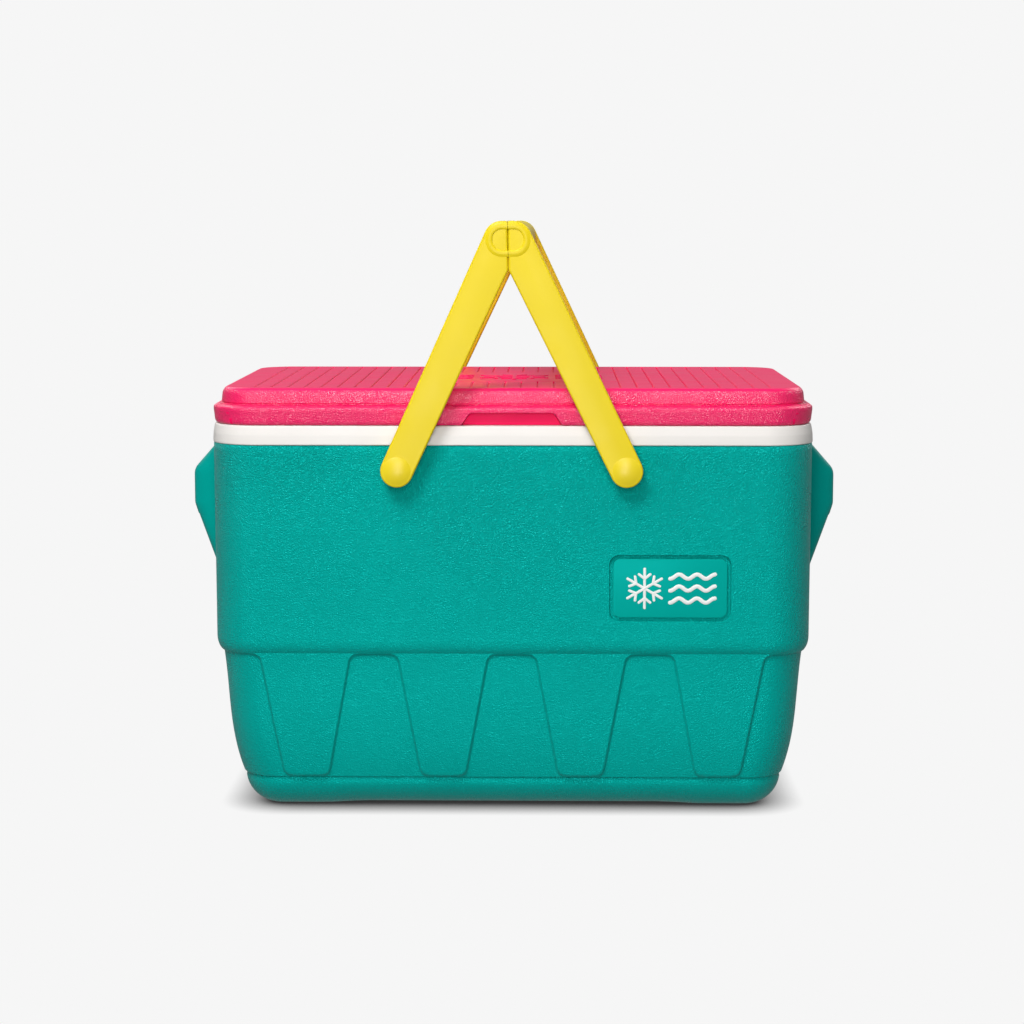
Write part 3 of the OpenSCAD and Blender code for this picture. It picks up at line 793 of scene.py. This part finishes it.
def lid_columns(z):
    """Columns round the lid that follow the sloping sides of the notch."""
    made = []
    for side in range(4):
        end = side_end(LID_CORE, side)
        corners = inner_zones(-end, end, HALF_CORNER, 2)
        if side == 0:
            places = spread(96, -end, end, [(-NOTCH_HALF, 1.4, 14), (NOTCH_HALF, 1.4, 14)], corners)
            share = np.clip((z - lid_low.z) / (NOTCH_TOP - lid_low.z), 0, 1)
            edge = NOTCH_HALF - NOTCH_SLOPE * share
            places = follow(places, [-NOTCH_HALF, NOTCH_HALF], [-edge, edge], end, 4.0)
        else:
            places = spread(56 if side == 2 else 44, -end, end, (), corners)
        made.append(places)
    return made


def lid_ring(z, radius, notched=None, grow=0.0):
    """Ring of the lid; notched is the radius that the wall falls back to inside the notch."""
    def out(side, s):
        if notched is None:
            return np.full_like(s, radius)
        share = smooth(notch_inside(side, s, z, grow), -0.55, 0.55)
        return radius + (notched - radius) * share
    return wall_ring(z, LID_CORE, lid_columns(z), out)


def lid_rings():
    """Rings from the edge of the flat top down the outside, under the flange and up the inside."""
    outline = [(24.8, 324), (28.0, 324), (30.9, 320.6), (31.8, 312.6), (30.9, 311.9), (31.8, 311.2),
               (35.4, 310.8), (FLANGE_OUT, 309.2), (FLANGE_OUT, 306.8)]
    outline = soften(outline, [6.0, 6.0, 0.5, 0.4, 0.7, 2.0, 2.8], 5)
    rings = [lid_ring(z, radius) for radius, z in outline]
    start = NOTCH_TOP + 0.9
    for z in spread(26, start, FLANGE_TURN_Z, [(NOTCH_TOP, 0.8, 8)]):
        rings.append(lid_ring(z, FLANGE_OUT - FLANGE_DRAFT * (start - z), NOTCH_BACK))
    for turn in np.linspace(0, math.pi / 2, 7)[1:]:
        z = FLANGE_TURN_Z - (FLANGE_TURN_Z - lid_low.z) * math.sin(turn)
        rings.append(lid_ring(z, 35.0 + 2.34 * math.cos(turn), NOTCH_BACK))
    for z, radius in [(lid_low.z, 33.5), (300, 33.5), (304, 33.5), (307.2, 33.5)]:
        rings.append(lid_ring(z, radius, 27.0, 3.0))
    for z, radius in [(308.2, 32.5), (310, 27.0), (321, 27.0)]:
        rings.append(lid_ring(z, radius))
    return rings


def lid_top_depth(x, y):
    """Depth of the moulded grooves below the flat top of the lid."""
    order = np.abs(x) / GROOVE_PITCH - 0.5
    nearest = np.clip(np.round(order), 0, GROOVES_PER_SIDE - 1)
    across = GROOVE_PITCH * np.abs(order - nearest)
    line = 1 - smooth(across, 0.15, GROOVE_HALF)
    ends = 1 - smooth(np.abs(y), GROOVE_END - 0.6, GROOVE_END + 0.4)
    middle, half = (BAND[0] + BAND[1]) / 2, (BAND[1] - BAND[0]) / 2
    inside = round_join(BAND_HALF - np.abs(x), half - np.abs(y - middle), BAND_RADIUS)
    at_band_end = nearest == round(BAND_HALF / GROOVE_PITCH - 0.5)
    broken = np.where(at_band_end, 1.0, 1 - smooth(inside, -0.2, 0.3))
    outline = 1 - smooth(np.abs(inside), 0.1, 0.55)
    return GROOVE_DEPTH * np.maximum(line * ends * broken, outline * 0.8)


def lid_top_grid():
    """Flat top with its grooves, and the plain band framed across its middle."""
    offsets = both([0.2, 0.5, 0.8, 1.05, 2.4])
    centres = both([(k + 0.5) * GROOVE_PITCH for k in range(GROOVES_PER_SIDE)])
    half_x, half_y = LID_FLAT
    band_corners = both([BAND_HALF - 4.25, BAND_HALF - 3.25])
    xs = sorted([c + o for c in centres for o in offsets] + [-half_x, 0.0, half_x] + band_corners)
    peaks = [(-GROOVE_END, 0.9, 12), (GROOVE_END, 0.9, 12), (BAND[0], 1.0, 14), (BAND[1], 1.0, 14)]
    ys = spread(74, -half_y, half_y, peaks, inner_zones(*BAND, 5, 3))
    x, y = np.meshgrid(xs, ys)
    z = lid_high.z - lid_top_depth(x, y)
    index = np.arange(x.size).reshape(x.shape)
    return np.stack([x, y, z], -1).reshape(-1, 3), net(index, closed=False)


def stitch_top(points, faces):
    """Fills the flat ring between the groove grid and the rounded edge of the lid."""
    mesh = bmesh.new()
    verts = [mesh.verts.new(p) for p in points]
    for face in faces:
        mesh.faces.new([verts[i] for i in face])
    rim = [edge for edge in mesh.edges if edge.is_boundary]
    bmesh.ops.triangle_fill(mesh, use_beauty=True, use_dissolve=False, edges=rim)
    mesh.verts.index_update()
    made = [tuple(v.co) for v in mesh.verts], [[v.index for v in f.verts] for f in mesh.faces]
    mesh.free()
    return made


def lid_shell():
    """The lid's outer moulding: grained round the sides, smooth on top and in the notch, whose back wall is
    given a brighter pink as painted light.
    """
    shell = stitch_top(*merged([tube(lid_rings(), open_start=True), lid_top_grid()]))
    lid = piece("lid_moulding", [shell], "lid", pink_grain, ["lid_shell"], sharp=60)
    lid.data.materials.append(pink_satin)
    lid.data.materials.append(pink_recess_painted_light)
    # The notch's back wall gets the brighter pink: painted light on a wall in the flange's shade.
    back_wall = -LID_CORE[1] - NOTCH_BACK
    for face in lid.data.polygons:
        place = face.center / MM - DATUM
        if place.z > lid_high.z - 2.1:
            face.material_index = 1
        elif abs(place.y - back_wall) < 0.6 and place.z < NOTCH_TOP:
            face.material_index = 2


def lid_pan():
    """Inner pan of the lid: flat plate notched at the front, with a shallow hollow plug."""
    plug_core, plug_radius = (183.1, 96.5), 22.0
    plug_columns = refit(lid_columns(lid_low.z), LID_CORE, plug_core)
    low, top = pan_low.z, 298.8
    rings = []
    for radius, z in soften([(17.0, low), (20.6, low), (21.9, 296.3), (22.4, 296.3)], [1.5, 0.6], 4):
        rings.append(wall_ring(z, plug_core, plug_columns, radius))
    for z, radius in [(296.3, 33.0), (296.5, 33.2), (298.6, 33.2), (top, 33.0)]:
        rings.append(lid_ring(z, radius, 29.4, 0.6))
    for z, radius in [(top, plug_radius - 3), (low + 2.5, plug_radius - 5)]:
        rings.append(wall_ring(z, plug_core, plug_columns, radius))
    piece("lid_inner_pan", [tube(rings)], "lid", white_satin, ["lid_pan"])


# ---- Emblem strokes ----

def snowflake(size):
    """Paths of a plain six-armed snowflake."""
    paths = []
    for k in range(6):
        angle = math.radians(90 + 60 * k)
        arm = np.array([math.cos(angle), math.sin(angle)])
        if k < 3:
            paths.append([arm * size * t for t in (-1.0, 0.0, 1.0)])
        fork = arm * size * 0.5
        for turn in (-1, 1):
            twig = angle + turn * math.radians(52)
            tip = fork + np.array([math.cos(twig), math.sin(twig)]) * size * 0.36
            paths.append([fork, (fork + tip) / 2, tip])
    return paths


def ripples(length, rise, humps, pitch):
    """Paths of three wavy lines, one above the other."""
    places = np.linspace(-length / 2, length / 2, 28)
    heights = rise * np.sin(2 * math.pi * humps * places / length)
    return [np.stack([places, heights + pitch * k], -1) for k in (-1, 0, 1)]


def inked(paths, width, u=0.0):
    """The paths moved sideways by u, each with its width."""
    return [([p + np.array([u, 0.0]) for p in path], width) for path in paths]


# ---- Badge ----

def badge():
    """Smooth plate with a raised snowflake and ripples, in place of any lettering."""
    circles = corner_circles(plate_low.x, plate_high.x, plate_low.z, plate_high.z, 5.6)
    face = plate_low.y - 0.5
    plate = slab(circles, face, plate_high.y, 0.4)
    piece("badge_face", [plate], "chest", badge_satin, ["badge_plate"])

    def place(u, v, height):
        return badge_x + u, face - height, badge_z + v

    paths = inked(snowflake(15.0), 2.0, -19.5) + inked(ripples(34.0, 1.7, 2.5, 9.2), 3.0, 17.0)
    piece("badge_emblem", strokes(paths, 0.14, 0.004, place, 0.2), "chest", print_white)


def lid_emblem():
    """Raised snowflake and ripples on the plain band of the lid."""
    middle = (BAND[0] + BAND[1]) / 2 - 3

    def place(u, v, height):
        return u, middle + v, lid_high.z + height

    paths = inked(snowflake(30.0), 3.4)
    for u in (-52.0, 52.0):
        paths += inked(ripples(34.0, 2.4, 2.0, 17.0), 4.2, u)
    piece("lid_emblem", strokes(paths, 0.75, 0.005, place), "lid", pink_satin)


# ---- Bails and pivots ----

def arm_circles():
    """Circles whose outline is the left-hand arm: seam corner, top corner, pivot end and fork corner."""
    corner = 1.6
    return [(-SEAM - corner, BAIL_TOP - corner, corner), (-4.65, BAIL_TOP - 13.5, 13.5),
            (-pivot.x, pivot.z, ARM_RADIUS), (-SEAM - corner, FORK_Z + 0.6, corner)]


def half_oval(half_x, half_z, radius):
    """Path from the seam over the top, round the outside and back to the seam underneath."""
    path = [(-SEAM, half_z)]
    for start, sz in ((90, 1), (180, -1)):
        for turn in np.linspace(start, start + 90, 13):
            angle = math.radians(turn)
            x = radius - half_x + radius * math.cos(angle)
            path.append((x, sz * (half_z - radius) + radius * math.sin(angle)))
    path.append((-SEAM, -half_z))
    return path


def ring_relief(sign):
    """Raised half ring round the end of the grip bar, on the outer face of an arm."""
    centre_z = BAIL_TOP - 13.9
    lanes = [(11.5, 7.2, -1.4), (11.5, 7.2, 0.0), (11.8, 7.5, 0.4), (12.5, 8.2, 0.72), (13.7, 9.4, 0.85),
             (14.8, 10.4, 0.72), (15.9, 11.4, 0.36), (16.8, 12.2, 0.0), (16.8, 12.2, -1.4)]
    rings = []
    for half_x, radius, height in lanes:
        path = half_oval(half_x, radius + 0.5, radius)
        rings.append([(x, sign * (bail_high.y + height), centre_z + z) for x, z in path])
    return tube(np.array(rings).transpose(1, 0, 2))


def grip_bar():
    """Half-oval bar between the arms, flat where it meets the other bail, fuller in the middle."""
    rings = []
    end = ARM_INNER + 1.0
    for y in np.linspace(-end, end, 25):
        swell = 0.5 * math.cos(math.pi * y / (2 * end)) ** 2
        path = half_oval(17.2 + swell, 13.4, 11.5)
        rings.append([(x, y, BAIL_TOP - 14.0 + z) for x, z in path])
    return tube(rings)


def leaning(points):
    """The raised bails rest against each other a little off the middle, more at the front than the back."""
    points = np.array(points, float)
    share = np.clip((points[:, 2] - pivot.z) / (BAIL_TOP - pivot.z), 0, 1)
    points[:, 0] += share * (LEAN + LEAN_TWIST * points[:, 1] / bail_high.y)
    return points


def bail(side, sign):
    """Bail handle: two arms, the half grip bar between them and a half ring on each end."""
    shells = [grip_bar()]
    for end in (-1, 1):
        y_front, y_back = sorted([end * ARM_INNER, end * bail_high.y])
        shells.append(slab(arm_circles(), y_front, y_back, ARM_EDGE, 5))
        shells.append(ring_relief(end))
    flip = np.array([sign, 1, 1])
    placed = [(leaning(np.array(points) * flip), faces) for points, faces in shells]
    name = "bail_" + side
    piece(name + "_moulding", placed, side + "_bail", yellow_satin, [name])


def stud(name, sx, sy):
    """Snap-in pivot stud: a shallow dome that blends into the arm's round end, and its shank."""
    outer = bail_high.y
    profile = [(SHANK_RADIUS - 1, SHANK_END), (SHANK_RADIUS, SHANK_END + 0.9), (SHANK_RADIUS, outer - 0.2),
               (CAP_RADIUS - 0.3, outer - 0.2), (CAP_RADIUS, outer)]
    profile += [(CAP_RADIUS * t, outer + 0.02 + CAP_RISE * (1 - t ** 2)) for t in np.linspace(1, 1 / 16, 16)]
    profile.append((0.2, outer + 0.02 + CAP_RISE))

    def place(a, b, height):
        return sx * pivot.x + a, sy * height, pivot.z + b
    piece(name + "_cap", [turned(profile, place, 56)], "chest", knob_satin, [name], sharp=40)


# ---- Hinges ----

def round_pin(a, b, along):
    """Puts a point about the hinge axis in the frame."""
    return along, hinge_axis.y + a, hinge_axis.z + b


def knuckle(x0, x1):
    """Barrel round the pin from x0 to x1, with chamfered ends."""
    radius, bore, chamfer = 3.2, 1.55, 0.35
    profile = [(bore, x0), (radius - chamfer, x0), (radius, x0 + chamfer), (radius, x1 - chamfer),
               (radius - chamfer, x1), (bore, x1)]
    return turned(profile, round_pin, 32, hollow=True)


def hinge_plate(x, z_low, z_high):
    """Leaf that is screwed to the rim or the lid."""
    circles = corner_circles(x - HINGE_HALF, x + HINGE_HALF, z_low, z_high, 1.4)
    return slab(circles, rim_high.y - 0.05, rim_high.y + 2, 0.4)


def web(x0, x1, z_low, z_high):
    """Short arm that joins a knuckle to its leaf."""
    return slab(corner_circles(x0, x1, z_low, z_high, 0.5), rim_high.y, hinge_axis.y, 0.25)


def hinges():
    """Two hinges: leaves with their knuckles, pins and screws."""
    rim_z = rim_high.z
    inner, outer, gap = HINGE_HALF / 2, HINGE_HALF, 0.3
    for side, x in (("left", -HINGE_X), ("right", HINGE_X)):
        fixed = [hinge_plate(x, rim_z - 14, rim_z - 4)]
        for x0, x1 in ((x - outer, x - inner - gap), (x + inner + gap, x + outer)):
            fixed += [knuckle(x0, x1), web(x0, x1, rim_z - 4.5, rim_z - 0.5)]
        piece("hinge_fixed_leaf_" + side, fixed, "chest", white_satin,
              ["hinge_body_leaf_" + side])
        moving = [hinge_plate(x, rim_z + 4.5, rim_z + 14), knuckle(x - inner, x + inner),
                  web(x - inner, x + inner, rim_z + 1, rim_z + 5)]
        piece("hinge_moving_leaf_" + side, moving, "lid", pink_satin,
              ["hinge_lid_leaf_" + side])
        start, end = x - outer - 0.5, x + outer + 0.5
        profile = [(1.1, start), (1.5, start + 0.4), (1.5, end - 0.4), (1.1, end)]
        rod = turned(profile, round_pin, 24)
        piece("hinge_rod_" + side, [rod], "chest", steel, ["hinge_pin_" + side])
    screws("hinge_lower_screws", rim_z - 9, "chest", "hinge_body_screws")
    screws("hinge_upper_screws", rim_z + 9, "lid", "hinge_lid_screws")


def screws(name, z, body, node):
    """Four pan-head screws with a cross recess."""
    head_y, head_top = rim_high.y + 2, 1.1
    profile = [(1.5, -4.8), (1.5, 0.0), (2.75, 0.02), (2.8, 0.2), (2.72, 0.45), (2.45, 0.75), (2.0, 0.97)]
    profile += [(radius, head_top) for radius in np.linspace(1.75, 0.1, 12)]
    shells = []
    for x in [s * HINGE_X + k * SCREW_X for s in (-1, 1) for k in (-1, 1)]:
        def place(a, b, height, x=x):
            near, far = sorted([abs(a), abs(b)])
            in_cross = near < CROSS_HALF and far < CROSS_REACH and height == head_top
            return x + a, head_y + height - (CROSS_DEPTH if in_cross else 0), z + b
        shells.append(turned(profile, place, 64))
    piece(name, shells, body, steel, [node], sharp=35)


# ---- Carried-over CAD nodes ----

def dress(look, *nodes):
    """Gives CAD nodes that stay as they are their material."""
    for node in nodes:
        for slot in frame["nodes"][node].material_slots:
            slot.material = look


# ---- Studio ----

BACKDROP = 0.922  # brightness of the backdrop and the table in the picture
ROOM_SHADE = 0.16  # brightness of the room as the pieces see it
BACK_PANEL = 0.3
TOP_PANEL = 0.3
TABLE_SHADE = 0.27
CONTACT = 0.027  # reach of the contact shadow in metres
SHADOW_FLOOR = 0.08


def studio():
    """Seamless pale table and backdrop in a dim room with soft lamps."""
    scene = bpy.context.scene
    scene.view_settings.view_transform = "Standard"
    scene.view_settings.look = "None"
    scene.world = bpy.data.worlds.new("pale_surroundings")
    scene.world.use_nodes = True
    tree = scene.world.node_tree
    toward = add(tree, "ShaderNodeTexCoord").outputs["Generated"]
    along = add(tree, "ShaderNodeSeparateXYZ", [(0, toward)])
    behind = remap(tree, along.outputs["Y"], 0.3, 0.85, ROOM_SHADE, BACK_PANEL)
    above = remap(tree, along.outputs["Z"], 0.3, 0.9, 0.0, TOP_PANEL)
    room = combine(tree, "ADD", behind, above)
    tree.links.new(seen_as(tree, room, BACKDROP), tree.nodes["Background"].inputs["Color"])

    mesh = bpy.data.meshes.new("table")
    mesh.from_pydata([(-3, -3, 0), (3, -3, 0), (3, 9, 0), (-3, 9, 0)], [], [(0, 1, 2, 3)])
    table = bpy.data.objects.new("table", mesh)
    scene.collection.objects.link(table)
    made, tree, output = empty_material("luminous_table")
    near = add(tree, "ShaderNodeAmbientOcclusion", [("Distance", CONTACT)], samples=16).outputs["AO"]
    shadow = remap(tree, near, SHADOW_FLOOR, 0.97, 0.03, BACKDROP)
    glow = add(tree, "ShaderNodeEmission", [("Color", seen_as(tree, TABLE_SHADE, shadow))])
    tree.links.new(glow.outputs[0], output.inputs["Surface"])
    mesh.materials.append(made)

    lamp("key_lamp", (-0.7, -1.6, 2.2), 0.9, 50)
    lamp("fill_lamp", (0.0, -2.3, 0.95), 0.7, 14)
    lamp("front_card", (-0.1, -1.7, 0.04), 0.5, 10.5)
    lamp("rear_lamp_left", (-1.6, 1.9, 1.9), 1.3, 20)
    lamp("rear_lamp_right", (1.8, 1.8, 1.9), 1.3, 22)


def seen_as(tree, lighting, picture):
    """Lights the pieces with one level while the picture itself shows another."""
    seen = add(tree, "ShaderNodeLightPath").outputs["Is Camera Ray"]
    inputs = [("Factor", seen), ("A", lighting), ("B", picture)]
    return add(tree, "ShaderNodeMix", inputs).outputs["Result"]


def lamp(name, place, size, power):
    """Square soft lamp that faces the middle of the chest."""
    data = bpy.data.lights.new(name, "AREA")
    data.size = size
    data.energy = power
    made = bpy.data.objects.new(name, data)
    made.location = place
    aim = (cad_low + cad_high) / 2 - Vector(place)
    made.rotation_euler = aim.to_track_quat("-Z", "Y").to_euler()
    bpy.context.scene.collection.objects.link(made)


def camera():
    """Level with the handles, straight in front of the chest and a little to its right."""
    data = bpy.data.cameras.new("view")
    data.sensor_width = 36
    data.lens = 83.9
    made = bpy.data.objects.new("view", data)
    made.location = (0.0271, -1.9417, 0.4559)
    made.rotation_euler = (math.radians(90 - 7.0), 0, math.radians(0.86))
    bpy.context.scene.collection.objects.link(made)
    bpy.context.scene.camera = made


# ---- Assembly ----

outer_shell()
rim_and_tub()
badge()
lid_shell()
lid_pan()
lid_emblem()
bail("left", 1)
bail("right", -1)
for row, sy in (("front", -1), ("rear", 1)):
    for side, sx in (("left", -1), ("right", 1)):
        stud("pivot_stud_" + row + "_" + side, sx, sy)
hinges()
dress(foam, "body_foam", "lid_foam")
dress(spacer_satin, "pivot_spacers")
dress(steel, "stud_retainers")
studio()
camera()
